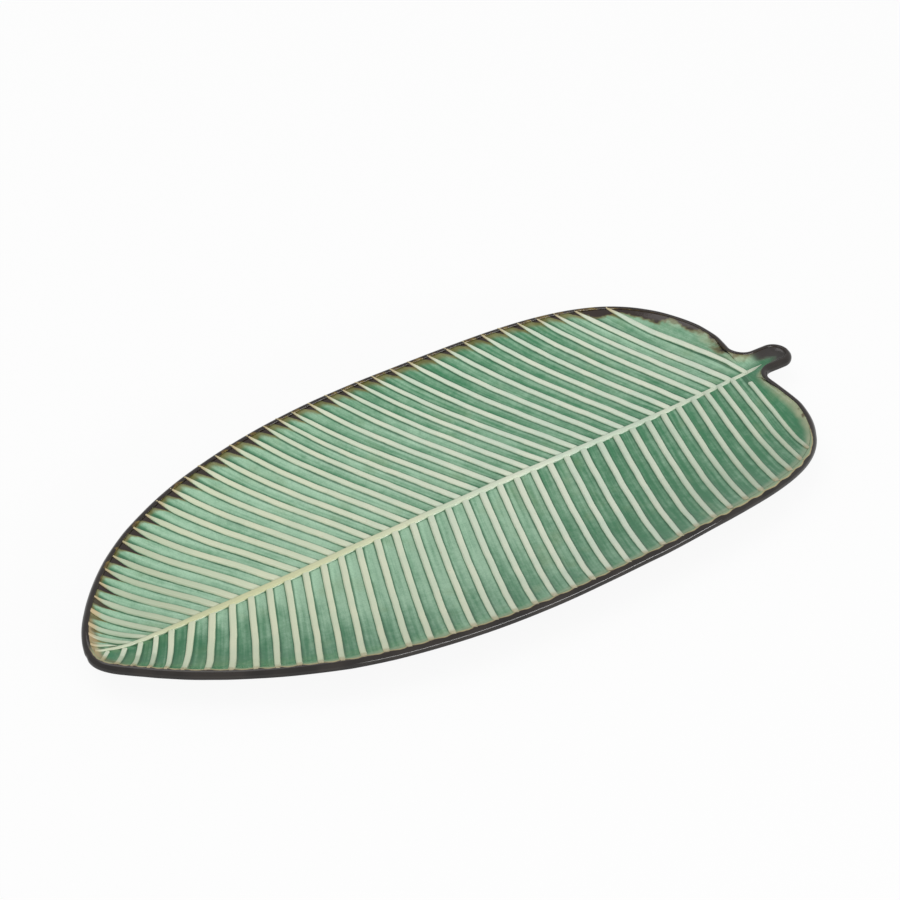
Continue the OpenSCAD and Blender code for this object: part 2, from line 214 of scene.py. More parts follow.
def plan_finder(points):
    """A search for the nearest of these points in plan."""
    finder = kdtree.KDTree(len(points))
    for index, point in enumerate(points):
        finder.insert((point[0], point[1], 0), index)
    finder.balance()
    return finder


LIP_FINDER = plan_finder(lip_inner_line())


def gap_to_lip(plan):
    flat = np.asarray(plan).reshape(-1, 2)
    return np.array([LIP_FINDER.find((x, y, 0))[2] for x, y in flat]).reshape(plan.shape[:-1])


# Heights of the dish

def near_tip(x):
    return np.exp(-(x / (END_REACH * LEAF_LENGTH)) ** 2)


def near_stem(x):
    return np.exp(-((LEAF_LENGTH - x) / (END_REACH * LEAF_LENGTH)) ** 2)


def crown_height(x):
    return RIM_HEIGHT - TIP_DROP * near_tip(x) - STEM_DROP * near_stem(x)


def dish_height(plan, u):
    """Height of the dish at plan points, where u is 0 on the midrib and 1 at the lip."""
    x = plan[..., 0]
    hollow = (crown_height(x) - DISH_DEPTH + (DISH_DEPTH - TIP_DEPTH) * near_tip(x)
              + (DISH_DEPTH - LIP_RISE - STEM_DEPTH) * near_stem(x))
    curl = np.maximum(0, 1 - (x - LIP_WIDTH) / TIP_CURL)
    stem_curl = np.maximum(0, 1 - (LEAF_LENGTH - LIP_WIDTH - x) / (STEM_RADIUS - LIP_WIDTH))
    climb = np.minimum(1, np.sqrt(u ** 2 + curl ** 2 + stem_curl ** 2)) ** 3
    # Round the tip the climb ends only at the lip, so no flat is left inside it: what is left
    # of the way is the smaller of two shares, rounded where they meet
    front = smoothstep(*TIP_ZONE, x / LEAF_LENGTH)
    ahead = front > 0
    if ahead.any():
        least, round_by = 1e-4, 3.0
        gap = np.clip(gap_to_lip(plan[ahead]) / TIP_CURL, least, 1)
        rest = np.maximum(least, 1 - u[ahead])
        left = (rest ** -round_by + gap ** -round_by) ** (-1 / round_by)
        climb[ahead] = mix(climb[ahead], (1 - left) ** 3, front[ahead])
    return mix(hollow, crown_height(x) - LIP_RISE, climb)


def across_share(x, y):
    """0 on the midrib and 1 at the lip. Toward the stem it goes by the gap to the lip instead."""
    half = np.maximum(LIP_WIDTH, np.interp(x, DISH_EDGE[:, 0], DISH_EDGE[:, 1]))
    share = np.minimum(1, np.abs(y) / half)
    back = smoothstep(*STEM_ZONE, x / LEAF_LENGTH)
    late = back > 0
    if late.any():
        x, y = x[late], y[late]
        middle = np.maximum(gap_to_lip(np.stack([x, 0 * x], -1)), 0.001)
        by_gap = np.clip(1 - gap_to_lip(np.stack([x, y], -1)) / middle, 0, 1)
        share[late] = mix(share[late], by_gap, back[late])
    return share


SWAY_PLACES = np.linspace(0, 1, 401)
SWAY_SHIFTS = smoothed(np.interp(SWAY_PLACES, *zip(*SWAY_STOPS)) * SWAY_SIZE, 33)


def sway(x, u):
    """How far the gently swaying midrib draws the dish to the left, least at the lip."""
    return np.interp(x, SWAY_PLACES * LEAF_LENGTH, SWAY_SHIFTS) * (1 - u * u)


def on_dish(plan, u=None):
    """Plan points set on the dish, still counted from the tip."""
    x, y = plan[..., 0], plan[..., 1]
    u = across_share(x, y) if u is None else u
    return np.stack([x, y + sway(x, u), dish_height(plan, u)], -1)


# How the hand-pressed rim strays from the mould's even line: distance walked from the tip,
# positive on the far side, then how far out and how far down the rim went there, in millimetres
STRAY_STOPS = [
    (-452, 0, 0), (-442, 0.5, 0), (-430, 1.5, 0), (-418, 0.9, 0), (-405, 0, 0), (-330, 0, 0),
    (-310, 0, 0.2), (-280, 0, 1.2), (-140, 0, 1.2), (-120, 0, 0.8), (-100, -0.7, 0.3),
    (-80, -1.3, 0), (-70, -1.5, 0), (-60, -1.6, 0), (-42, -1.2, 0), (-30, -0.3, 0),
    (-26, 0.2, 0.1), (-22, 0.7, 0.3), (-18, 1.4, 0.5), (-15, 1.8, 0.7), (-12, 2.0, 1.0),
    (-8, 2.1, 1.3), (-6, 1.8, 1.4), (-4, 1.5, 1.4), (-2, 1.0, 1.3), (0, 0.3, 1.2), (2, 0, 1.1),
    (5, -0.1, 0.8), (8, -0.3, 0.5), (12, -0.4, 0.2), (18, -0.4, 0), (26, -0.3, 0), (36, 0.2, 0),
    (50, 1.2, 0), (60, 1.9, 0), (80, 2.7, 0), (100, 2.7, 0), (120, 2.6, 0), (140, 2.0, 0),
    (160, 1.8, 0), (200, 1.3, 0), (225, 0.9, 0), (240, 0.8, 0), (280, 0.4, 0), (400, 0.6, 0),
    (415, 1.4, 0), (430, 2.8, 0), (442, 2.5, 0), (454, 0, 0),
]
STRAY_FROM = 0.52  # the share of the way to the lip from which the dish follows its strays
STRAY_PLACES = np.arange(-0.47, 0.471, 0.001)
WALK_STOPS, OUT_STOPS, DOWN_STOPS = np.array(STRAY_STOPS).T / 1000
STRAY_OUT, STRAY_DOWN = (smoothed(np.interp(STRAY_PLACES, WALK_STOPS, stops), 7)
                         for stops in (OUT_STOPS, DOWN_STOPS))


def by_hand(points):
    """Moves points as the rim strayed, fully at the lip and not at all in the middle."""
    moved = np.array(points, float)
    x, y = moved[:, 0].copy(), moved[:, 1].copy()
    walk = np.interp(x, DISH_EDGE[:, 0], WALKED)
    share = across_share(x, y)
    # Round the tip the share goes by the gap to the lip, and the sides run into one another
    tipward = smoothstep(LIP_WIDTH + TIP_CURL, LIP_WIDTH + 0.002, x)
    front = tipward > 0
    if front.any():
        by_gap = np.clip(1 - gap_to_lip(moved[front, :2]) / TIP_CURL, 0, 1)
        walk[front] *= mix(1, share[front], tipward[front])
        share[front] = mix(share[front], by_gap, tipward[front])
    weight = smoothstep(STRAY_FROM, 1, share)
    side = np.where(y >= 0, FAR, NEAR)
    out = weight * np.interp(side * walk, STRAY_PLACES, STRAY_OUT)
    moved[:, 0] += out * np.interp(walk, WALKED, OUTWARD[:, 0])
    moved[:, 1] += out * side * np.interp(walk, WALKED, OUTWARD[:, 1])
    moved[:, 2] -= weight * np.interp(side * walk, STRAY_PLACES, STRAY_DOWN)
    return moved


def centred(points):
    return by_hand(points) - [LEAF_LENGTH / 2, 0, 0]


# Where the veins run. k counts the veins from the tip and may lie between two of them.

def root_place(k, side):
    return BLADE_BACK * np.interp(np.asarray(k) / LAST, *zip(*ROOTS[side]))


def end_place(k, side):
    return RIM_LENGTH * np.interp(np.asarray(k) / LAST, *zip(*ENDS[side]))


ROOT_PITCH = (root_place(LAST, FAR) - root_place(0, FAR)) / LAST


def vein_half(v):
    """Half a vein's width, in veins, at reach v."""
    return VEIN_WIDTH / 2 / ROOT_PITCH * (1 - VEIN_NARROWING * v)


def midrib_half(x):
    return MIDRIB_WIDTH / 2 * (1 - MIDRIB_NARROWING * x / LEAF_LENGTH)


def vein_plan(k, v, side):
    """Plan points at vein place k and reach v, where v is 0 at the midrib and 1 at the lip."""
    root_x = root_place(k, side)
    root = np.stack([root_x, midrib_half(root_x)], -1)
    plan = mix(root, inner_edge(end_place(k, side)), v[..., None])
    bow = BOW[side] * np.clip(k / LAST / BOW_FADE, 0, 1) * np.sin(np.pi * v)
    return np.stack([plan[..., 0] + bow, side * plan[..., 1]], -1)


def width_between(first, second):
    """Distance between two neighbouring lines of plan points, square to their run."""
    run = np.gradient((first + second) / 2, axis=-2)
    run /= np.hypot(run[..., 0], run[..., 1])[..., None] + 1e-12
    step = second - first
    return np.abs(step[..., 0] * run[..., 1] - step[..., 1] * run[..., 0])


# Meshes

def new_piece(name, points, faces=(), values=None, edges=()):
    """A piece at the frame's origin, with the values kept on its points."""
    mesh = bpy.data.meshes.new(name)
    mesh.from_pydata([tuple(p) for p in points], list(edges), list(faces))
    for key, numbers in (values or {}).items():
        vector = np.ndim(numbers) == 2
        kept = mesh.attributes.new(key, "FLOAT_VECTOR" if vector else "FLOAT", "POINT")
        kept.data.foreach_set("vector" if vector else "value",
                              np.asarray(numbers, np.float32).ravel())
    return link_piece(name, mesh)


def link_piece(name, data):
    piece = bpy.data.objects.new(name, data)
    bpy.context.scene.collection.objects.link(piece)
    return piece


def close_up(piece, merge=1e-6):
    """Merges doubled points and turns the faces of a closed shell outward."""
    work = bmesh.new()
    work.from_mesh(piece.data)
    bmesh.ops.remove_doubles(work, verts=work.verts, dist=merge)
    bmesh.ops.recalc_face_normals(work, faces=work.faces)
    for face in work.faces:
        face.smooth = True
    work.to_mesh(piece.data)
    work.free()
    return piece


def grid_faces(rows, columns, first=0, closed=False):
    """Faces of a grid of points kept row by row."""
    faces = []
    for r in range(rows - 1):
        for c in range(columns if closed else columns - 1):
            a = first + r * columns + c
            b = first + r * columns + (c + 1) % columns
            faces.append((a, b, b + columns, a + columns))
    return faces


# The glazed leaf: the dished blade and the stem in one skin, with the brown underside

ACROSS = np.concatenate([np.linspace(0, 0.1, 4)[:-1], np.linspace(0.1, 0.84, 20)[:-1],
                         np.linspace(0.84, 1, 13)])
PANEL_STEPS = (-1, -0.8, -0.5, -0.2, 0.2, 0.5, 0.8, 1)
ON_VEIN = 1.2  # the panel value on a vein's own line
PANEL_START, PANEL_END, PANEL_FULLNESS = (0, 0.15), (1, 0.86), 0.6
END_GAP = 0.25  # how far beyond the first and the last vein the plain ends begin, in veins
TIP_ROWS, SHOULDER_ROWS, STEM_ROWS = 16, 22, 14
SHOULDER_VEINS = 3  # how many veins' room a shoulder takes in the glaze's flow
NO_SIDE_GAP = 0.006  # the stem's room to the next vein: enough for no pooled glaze and no painted shade
UNDERSIDE_SHARES = (0.975, 0.95, 0.92, 0.88, 0.83, 0.77, 0.7, 0.63, 0.56, 0.4, 0.2, 0.04)
BASE_SHARE = 0.57


def fan_line(root_x, walk, side, spread=1.0):
    """A straight plan line from the midrib to the lip. With no spread it lies on the middle."""
    root = np.array([root_x, midrib_half(root_x) * min(1, 2 * spread)])
    end = inner_edge(np.array([walk]))[0] * [1, spread > 0]
    return mix(root, end, ACROSS[:, None]) * [1, side]


def half_dish(side):
    """Points and values of one half of the dish, one row for each line along a vein."""
    v = ACROSS
    rows = []

    def add_row(plan, panel, gap, number, place):
        rows.append((plan, np.full_like(v, panel), gap, float(number), float(place)))

    first_k, back_k = -END_GAP, LAST + END_GAP
    first_line = vein_plan(np.full_like(v, first_k), v, side)
    for s in np.linspace(0, 1, TIP_ROWS + 1)[:-1]:
        line = fan_line(mix(LIP_WIDTH, root_place(first_k, side), s),
                        mix(0, end_place(first_k, side), s), side, s)
        add_row(line, 0, np.hypot(*(first_line - line).T) + 1e-4, -1, s - 1 + first_k)
    for k in range(VEINS):
        if k:
            behind, ahead = k - 1 + vein_half(v), k - vein_half(v)
            wide = width_between(vein_plan(behind, v, side), vein_plan(ahead, v, side))
            for panel in PANEL_STEPS:
                t = (panel + 1) / 2
                line = vein_plan(mix(behind, ahead, t), v, side)
                add_row(line, panel, wide * min(t, 1 - t), k, k - 1 + t)
        add_row(vein_plan(np.full_like(v, float(k)), v, side), ON_VEIN, np.zeros_like(v), k, k)
    last_line = vein_plan(LAST + vein_half(v), v, side)
    for s in np.linspace(0, 1, SHOULDER_ROWS):
        line = fan_line(mix(root_place(back_k, side), BLADE_BACK, s),
                        mix(end_place(back_k, side), RIM_LENGTH, s), side)
        line[:, 0] += BOW[side] * (1 - s) * np.sin(np.pi * v)
        add_row(line, 0, width_between(last_line, line), VEINS, back_k + SHOULDER_VEINS * s)

    lines, panels, gaps, numbers, places = (np.array(column) for column in zip(*rows))
    u = across_share(lines[..., 0], lines[..., 1])
    u[:, -1] = 1
    points = on_dish(lines, u)
    hollow = np.clip(1 - panels ** 2, 0, 1) ** PANEL_FULLNESS
    hollow *= np.isin(numbers, (-1, VEINS), invert=True)[:, None]
    ends = smoothstep(*PANEL_START, v) * smoothstep(*PANEL_END, v)
    points[..., 2] -= PANEL_DIP * hollow * ends
    length = np.hypot(*(lines[:, -1] - lines[:, 0]).T)[:, None]
    each = np.ones_like(v)
    return {
        "points": points, "plan": lines, "panel": panels, "gap": gaps,
        "reach": np.broadcast_to(v, panels.shape), "number": numbers[:, None] * each,
        "flow": np.stack([ROOT_PITCH * places[:, None] * each, v * length,
                          np.full(panels.shape, side * 0.1)], -1),
    }


def stem_tongue():
    """Points and values of the stem, in the same order as a blade line with both halves."""
    notch, end = inner_stem_edge(STEM_ROWS)
    sides = np.vstack([notch[1:], end[:-1]])
    shares = np.concatenate([-ACROSS[::-1], ACROSS])
    lines = np.stack([np.broadcast_to(sides[:, :1], (len(sides), len(shares))),
                      sides[:, 1:] * shares[None, :]], -1)
    shape = lines.shape[:-1]
    u = across_share(lines[..., 0], lines[..., 1])
    u[:, [0, -1]] = 1
    return {
        "points": on_dish(lines, u), "plan": lines, "panel": np.zeros(shape),
        "gap": np.full(shape, NO_SIDE_GAP), "reach": u, "number": np.full(shape, VEINS + 1.0),
        "flow": np.stack([lines[..., 0], np.abs(lines[..., 1]), np.full(shape, 0.3)], -1),
    }


def underside(edge, top):
    """Rings from the inner line of the lip down to the flat base, always well under the top."""
    top = top.reshape(-1, 3)
    finder = plan_finder(top)
    drop = crown_height(edge[:, 0]) - LIP_RISE - LIP_HEIGHT
    rings = [np.column_stack([edge, drop])]
    for share in UNDERSIDE_SHARES:
        x, y = mix(BLADE_LENGTH / 2, edge[:, 0], share), edge[:, 1] * share
        if share > BASE_SHARE:
            plan = np.stack([x, y], -1)
            z = np.maximum(FOOT_HEIGHT, dish_height(plan, across_share(x, y)) - FLOOR_THICKNESS)
            above = top[[finder.find((*spot, 0))[1] for spot in plan], 2]
            z = np.minimum(np.minimum(z, drop), above - LEAST_THICKNESS)
            z = np.maximum(FOOT_HEIGHT, z)
        else:
            z = np.full_like(x, FOOT_HEIGHT)
        rings.append(np.stack([x, y, z], -1))
    return rings


def build_glazed_leaf():
    left, right, stem = half_dish(FAR), half_dish(NEAR), stem_tongue()
    values = {}
    for key in left:
        blade = np.concatenate([right[key][:, ::-1], left[key]], axis=1)
        values[key] = np.concatenate([blade, stem[key]], axis=0)
    top, top_plan = values.pop("points"), values.pop("plan")
    rows, columns = top.shape[:2]
    stem_end = [LEAF_LENGTH - LIP_WIDTH, 0]
    rings = underside(np.concatenate([top[:, -1, :2], [stem_end], top[::-1, 0, :2]]), top)
    end = np.array([[*stem_end, crown_height(LEAF_LENGTH) - LIP_RISE]])
    points = np.concatenate([top.reshape(-1, 3), end] + rings)

    faces = grid_faces(rows, columns)
    end_index = rows * columns
    last = (rows - 1) * columns
    faces += [(last + c, last + c + 1, end_index) for c in range(columns - 1)]
    upper = len(faces)
    ring_size = len(rings[0])
    first = end_index + 1
    seam = ([r * columns + columns - 1 for r in range(rows)] + [end_index]
            + [r * columns for r in range(rows - 1, -1, -1)])
    for i in range(ring_size):
        j = (i + 1) % ring_size
        faces.append((seam[i], seam[j], first + j, first + i))
    faces += grid_faces(len(rings), ring_size, first, closed=True)
    faces.append(tuple(range(len(points) - ring_size, len(points))))

    values["lip_gap"] = gap_to_lip(top_plan)
    kept = {}
    for key, numbers in values.items():
        flat = numbers.reshape(end_index, *numbers.shape[2:])
        under = np.zeros((len(points) - end_index, *numbers.shape[2:]))
        kept[key] = np.concatenate([flat, under])
    piece = new_piece("glazed_leaf", centred(points), faces, kept)
    piece.data.materials.append(green_glaze())
    piece.data.materials.append(brown_glaze("underside_glaze", rim=False))
    for number, face in enumerate(piece.data.polygons):
        face.material_index = 0 if number < upper else 1
    return close_up(piece)


# Paths that the ridges and the bands follow

def path_piece(name, lines, values, closed=False):
    """Point lines as a mesh of edges, with the values that the tree reads."""
    edges, first = [], 0
    for line in lines:
        edges += [(first + i, first + i + 1) for i in range(len(line) - 1)]
        if closed:
            edges.append((first + len(line) - 1, first))
        first += len(line)
    flat = {key: np.ravel(numbers) for key, numbers in values.items()}
    return new_piece(name, np.vstack(lines), values=flat, edges=edges)


RUN_STEPS = 8
RUN_FROM, RUN_GROWS_OVER = 8, 5  # from which far vein on they run on further, and how soon all do
RUN_SPREAD, RUN_BEAT = 0.35, 2.4  # how unevenly they run on
LIP_CLIMB = 0.6  # how much of the lip's rise they climb
BROADER_VEINS, BROADER_BY = (18, 8), 0.2  # far veins toward the tip
BLUNT_VEINS = 4  # how many of the first far ones end blunt
DETACHED_START = 0.1  # where the last near vein starts, a little way off the midrib
ROOT_RISE, LAST_RISE = 0.6, 0.12  # height shares under the midrib and at the very end


def over_lip(points, run, rise):
    """More points, this far on from the end of a line, that climb onto the lip."""
    steps = np.linspace(0, 1, RUN_STEPS + 1)[1:, None]
    ahead = points[-1] - points[-2]
    ahead[2] = 0
    more = points[-1] + steps * run * ahead / np.hypot(ahead[0], ahead[1])
    more[:, 2] += rise * smoothstep(0, NEAR_RUN, steps[:, 0] * run)
    return np.vstack([points, more])


def run_over_lip(k, side):
    """How far a vein runs on over the lip: the first far ones hardly, later ones unevenly."""
    if side == NEAR:
        return NEAR_RUN
    least, more = FAR_RUN
    grown = min(1, max(0, (k - RUN_FROM) / RUN_GROWS_OVER))
    return least + more * grown * (1 + RUN_SPREAD * math.sin(RUN_BEAT * k))


def vein_paths(side):
    """The centre line of each side vein of one half, from under the midrib to over the lip."""
    lines, values = [], {"half_width": [], "rise": [], "reach": [], "lip_gap": [], "number": []}
    for k in range(0 if side == FAR else -1, VEINS):
        ends = vein_plan(np.full(2, float(k)), np.array([0.0, 1.0]), side)
        under = mix(*UNDER_MIDRIB[side], k / VEINS) / math.dist(*ends)
        v = np.concatenate([np.linspace(-under, 0.85, 30)[:-1], np.linspace(0.85, 1, 13)])
        if side == NEAR and k == LAST:
            v = DETACHED_START + (1 - DETACHED_START) * np.clip(v, 0, 1)
        plan = vein_plan(np.full_like(v, float(k)), v, side)
        run = run_over_lip(k, side)
        line = over_lip(centred(on_dish(plan)), run, LIP_CLIMB * LIP_RISE)
        lines.append(line)
        gap = np.concatenate([gap_to_lip(plan), -np.linspace(0, run, RUN_STEPS + 1)[1:]])
        flanks = [vein_plan(k + way * vein_half(v), v, side) for way in (-1, 1)]
        half = width_between(*flanks) / 2
        half = np.concatenate([half, np.full(RUN_STEPS, half[-1])])
        broad = 1 + BROADER_BY * float(smoothstep(*BROADER_VEINS, k)) * (side == FAR)
        point = smoothstep(-run - POINT_PAST, POINT_LENGTH[side], gap)
        blunt = BLUNT if side == NEAR or k < BLUNT_VEINS else SHARP
        share = np.interp(v, [-under, *RISE_REACHES], [ROOT_RISE, *RISE_SHARES])
        onward = np.linspace(RISE_SHARES[-1], LAST_RISE, RUN_STEPS + 1)[1:]
        values["half_width"].append(half * broad * mix(blunt, 1, point))
        values["rise"].append(VEIN_HEIGHT * np.concatenate([share, onward]))
        values["reach"].append(np.concatenate([np.clip(v, 0, 1), np.ones(RUN_STEPS)]))
        values["lip_gap"].append(gap)
        values["number"].append(np.full(len(line), float(k)))
    return path_piece("vein_paths", lines, values)


def midrib_path():
    """The midrib's line, slim at the tip, which runs into the stem and fades out there."""
    start_gap, past_blade, round_end, flare = 0.001, 0.009, 0.006, 0.0002
    tip_width, full_width_at = 0.32, 0.08
    x = np.linspace(LIP_WIDTH + start_gap, BLADE_BACK + past_blade, 190)
    plan = np.stack([x, np.zeros_like(x)], -1)
    line = centred(on_dish(plan, np.zeros_like(x)))
    tip_fade = smoothstep(-0.004, LIP_WIDTH + 0.014, x)
    fade = tip_fade * mix(1, 0.25, smoothstep(0.72, 1, x / x[-1]))
    end = np.clip((x[-1] - x) / round_end, 0.12, 1)
    slim = mix(tip_width, 1, smoothstep(LIP_WIDTH, full_width_at, x))
    return path_piece("midrib_path", [line], {
        "half_width": (midrib_half(x) + flare) * end * mix(0.75, 1, fade) * slim,
        "rise": MIDRIB_HEIGHT * np.clip(fade, 0.2, 1) * np.clip(end, 0.3, 1),
        "reach": np.zeros_like(x), "lip_gap": gap_to_lip(plan), "number": np.zeros_like(x),
    })


def both_sides(left):
    """A closed plan line round both halves, from its left half."""
    return np.vstack([left, (left[::-1] * [1, -1])[1:-1]])


def lip_path():
    """The inner line of the lip, once round the leaf. Its phase counts the veins it passes."""
    walk = np.linspace(0, RIM_LENGTH, 420)
    notch, end = inner_stem_edge(STEM_ROWS)
    left = np.vstack([inner_edge(walk), notch[1:], end])
    plan = both_sides(left)
    beyond = 0.3
    places = np.linspace(-beyond, LAST + beyond, 800)
    far, near = (np.concatenate([np.interp(walk, end_place(places, side), places),
                                 np.full(len(left) - len(walk), VEINS + 0.5)])
                 for side in (FAR, NEAR))
    line = np.column_stack([plan, crown_height(plan[:, 0]) - LIP_RISE])
    phase = np.concatenate([far, near[::-1][1:-1]])
    return path_piece("lip_path", [centred(line)], {"phase": phase}, closed=True)


def foot_path():
    """The outer edge of the foot ring under the flat base."""
    half = inner_edge(np.linspace(0, RIM_LENGTH, 160))
    half = np.stack([mix(BLADE_LENGTH / 2, half[:, 0], FOOT_SHARE), half[:, 1] * FOOT_SHARE], -1)
    plan = both_sides(half)
    line = np.column_stack([plan, np.full(len(plan), FOOT_HEIGHT)])
    return path_piece("foot_path", [centred(line)], {}, closed=True)


def section_piece(name, corners, steps):
    """A closed section drawn smoothly through these corners, inward and down from a path. Its
    points keep their distance from the first corner, walked round the section."""
    corners = np.array(corners, float)
    closed = np.vstack([corners[-1:], corners, corners[:2]])
    points = []
    for a, b, c, d in zip(closed, closed[1:], closed[2:], closed[3:]):
        for t in np.linspace(0, 1, steps, endpoint=False):
            points.append(0.5 * (2 * b + (c - a) * t + (2 * a - 5 * b + 4 * c - d) * t * t
                                 + (3 * b - a - 3 * c + d) * t ** 3))
    line = np.column_stack([np.array(points), np.zeros(len(points))])
    girth = np.concatenate([[0], np.cumsum(np.hypot(*np.diff(points, axis=0).T))])
    return path_piece(name, [line], {"girth": girth}, closed=True)


# Nodes

class Nodes:
    """Short words for the nodes of one tree."""

    def __init__(self, tree):
        self.tree = tree

    def feed(self, socket, value):
        """Gives a socket a number, a colour or what comes out of another one."""
        if isinstance(value, bpy.types.NodeSocket):
            self.tree.links.new(value, socket)
        else:
            socket.default_value = value

    def add(self, kind, inputs=None, **settings):
        node = self.tree.nodes.new(kind)
        for key, value in settings.items():
            setattr(node, key, value)
        for key, value in (inputs or {}).items():
            self.feed(node.inputs[key], value)
        return node

    def maths(self, operation, *values):
        return self.add("ShaderNodeMath", dict(enumerate(values)), operation=operation).outputs[0]

    def plus(self, first, *others):
        for other in others:
            first = self.maths("ADD", first, other)
        return first

    def minus(self, first, second):
        return self.maths("SUBTRACT", first, second)

    def times(self, first, *others):
        for other in others:
            first = self.maths("MULTIPLY", first, other)
        return first

    def ramp(self, value, low, high, start=0.0, end=1.0):
        """A soft step from start to end while the value goes from low to high."""
        return self.add("ShaderNodeMapRange", {0: value, 1: low, 2: high, 3: start, 4: end},
                        interpolation_type="SMOOTHSTEP").outputs[0]

    def for_camera(self, out, lit, shown, share):
        """Shows the camera one shader by this share, while the other does the rest."""
        blend = self.add("ShaderNodeMixShader",
                         {0: share, 1: lit.outputs[0], 2: shown.outputs[0]})
        self.feed(out.inputs[0], blend.outputs[0])


class Shaper(Nodes):
    """A tree of nodes that makes a piece from a path."""

    def __init__(self, name, sizes):
        super().__init__(bpy.data.node_groups.new(name, "GeometryNodeTree"))
        face = self.tree.interface
        face.new_socket("Geometry", in_out="INPUT", socket_type="NodeSocketGeometry")
        for label, kind in sizes.items():
            face.new_socket(label, in_out="INPUT", socket_type="NodeSocket" + kind)
        face.new_socket("Geometry", in_out="OUTPUT", socket_type="NodeSocketGeometry")
        self.given = self.tree.nodes.new("NodeGroupInput").outputs
        self.out = self.tree.nodes.new("NodeGroupOutput").inputs[0]

    def shape(self, kind, inputs, **settings):
        return self.add("GeometryNode" + kind, inputs, **settings).outputs[0]

    def moved(self, geometry, **by):
        return self.shape("SetPosition", {"Geometry": geometry, **by})

    def keep(self, geometry, name, value):
        return self.shape("StoreNamedAttribute",
                          {"Geometry": geometry, "Name": name, "Value": value},
                          data_type="FLOAT", domain="POINT")

    def kept(self, name):
        return self.add("GeometryNodeInputNamedAttribute", {"Name": name},
                        data_type="FLOAT").outputs["Attribute"]

    def upright(self, line):
        return self.shape("SetCurveNormal", {"Curve": line}, mode="Z_UP")

    def hand_wobble(self):
        """A small random shift, the same for every run, that makes a line look drawn by hand."""
        place = self.add("GeometryNodeInputPosition").outputs[0]
        noise = self.add("ShaderNodeTexNoise",
                         {"Vector": place, "W": self.given["Seed"],
                          "Scale": self.given["Wobble Scale"], "Detail": 1.0},
                         noise_dimensions="4D")
        middle = self.add("ShaderNodeVectorMath", {0: noise.outputs["Color"], 1: (0.5, 0.5, 0.5)},
                          operation="SUBTRACT")
        return self.add("ShaderNodeVectorMath",
                        {0: middle.outputs[0], "Scale": self.given["Wobble"]},
                        operation="SCALE").outputs[0]

    def finish(self, geometry):
        smooth = self.shape("SetShadeSmooth", {"Geometry": geometry})
        real = self.shape("RealizeInstances", {"Geometry": smooth})
        glazed = self.shape("SetMaterial", {"Geometry": real, "Material": self.given["Glaze"]})
        self.feed(self.out, glazed)
        return self.tree


def ridge_tree():
    """Raises a closed ridge with a flat top over every line that it is given."""
    s = Shaper("glaze_ridges", {"Crest Share": "Float", "Skirt Depth": "Float", "Wobble": "Float",
                                "Wobble Scale": "Float", "Section Points": "Int",
                                "Seed": "Float", "Glaze": "Material"})
    line = s.shape("MeshToCurve", {"Mesh": s.given["Geometry"]})
    line = s.upright(s.moved(line, Offset=s.hand_wobble()))
    # The section is a flat loop: its points know how far across they are, and which lie above
    ring = s.shape("CurvePrimitiveCircle",
                   {"Resolution": s.given["Section Points"], "Radius": 1.0}, mode="RADIUS")
    place = s.add("GeometryNodeInputPosition").outputs[0]
    spot = s.add("ShaderNodeSeparateXYZ", {0: place}).outputs
    ring = s.keep(s.keep(ring, "across", spot["X"]), "above", spot["Y"])
    flat = s.add("ShaderNodeCombineXYZ", {"X": s.kept("across")}).outputs[0]
    ring = s.moved(ring, Position=flat)
    swept = s.shape("CurveToMesh", {"Curve": line, "Profile Curve": ring,
                                    "Scale": s.kept("half_width"), "Fill Caps": True})
    crest = s.ramp(s.maths("ABSOLUTE", s.kept("across")), 1.0, s.given["Crest Share"])
    swept = s.keep(swept, "crest", crest)
    sunk = s.times(s.given["Skirt Depth"], -1.0)
    top = s.add("ShaderNodeMapRange", {0: crest, 1: 0.0, 2: 1.0, 3: s.times(sunk, 0.3),
                                       4: s.kept("rise")}).outputs[0]
    above = s.maths("GREATER_THAN", s.kept("above"), -0.001)
    height = s.add("ShaderNodeMapRange", {0: above, 1: 0.0, 2: 1.0, 3: sunk, 4: top}).outputs[0]
    lift = s.add("ShaderNodeCombineXYZ", {"Z": height}).outputs[0]
    return s.finish(s.moved(swept, Offset=lift))


def band_tree():
    """Runs a closed section along every line that it is given."""
    s = Shaper("rolled_bands", {"Section": "Object", "Wobble": "Float", "Wobble Scale": "Float",
                                "Seed": "Float", "Glaze": "Material"})
    line = s.upright(s.shape("MeshToCurve", {"Mesh": s.given["Geometry"]}))
    info = s.add("GeometryNodeObjectInfo", {"Object": s.given["Section"]})
    section = s.shape("MeshToCurve", {"Mesh": info.outputs["Geometry"]})
    swept = s.shape("CurveToMesh", {"Curve": line, "Profile Curve": section})
    return s.finish(s.moved(swept, Offset=s.hand_wobble()))


def grow(name, path, tree, sizes, helpers=()):
    """Runs a tree on a path and keeps the result as a plain mesh."""
    modifier = path.modifiers.new("grow", "NODES")
    modifier.node_group = tree
    labels = {item.name: item.identifier for item in tree.interface.items_tree
              if item.item_type == "SOCKET" and item.in_out == "INPUT"}
    for label, value in sizes.items():
        modifier[labels[label]] = value
    bpy.context.view_layer.update()
    graph = bpy.context.evaluated_depsgraph_get()
    mesh = bpy.data.meshes.new_from_object(path.evaluated_get(graph), depsgraph=graph,
                                           preserve_all_data_layers=True)
    mesh.name = name
    piece = link_piece(name, mesh)
    path.modifiers.remove(modifier)
    for used in (path, *helpers):
        bpy.data.objects.remove(used)
    return close_up(piece, 1e-7)


# Glazes. Colours are given as they are seen, 0 to 255.

